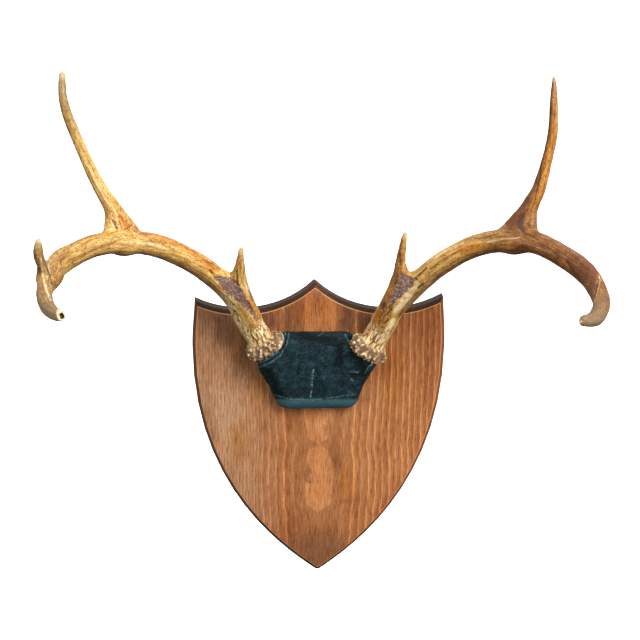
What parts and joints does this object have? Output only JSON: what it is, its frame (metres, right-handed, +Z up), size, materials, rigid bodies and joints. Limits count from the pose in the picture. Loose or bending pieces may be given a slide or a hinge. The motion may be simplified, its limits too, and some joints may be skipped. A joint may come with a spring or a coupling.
{
  "type": "antler mounting plaque",
  "caption": "Shield-shaped stained pine plaque with a velvet-covered skull cap and a pair of real antlers, made to hang on a wall.",
  "frame": {"origin": "on the shield's flat back, on its centre line, 151 mm above its bottom tip", "axes": "+Z up, +Y into the wall, +X to the right of someone who faces the plaque"},
  "size_m": [0.496, 0.2991, 0.5279],
  "materials": {
    "stained_pine": "stained and satin varnished",
    "green_velvet": "short pile velvet",
    "antler_golden": "varnished antler",
    "antler_tawny": "varnished antler, browner"
  },
  "bodies": {
    "root": {"shield_plaque": "stained_pine", "velvet_skull_cap": "green_velvet", "antler_left": "antler_golden", "antler_right": "antler_tawny"}
  },
  "joints": []
}
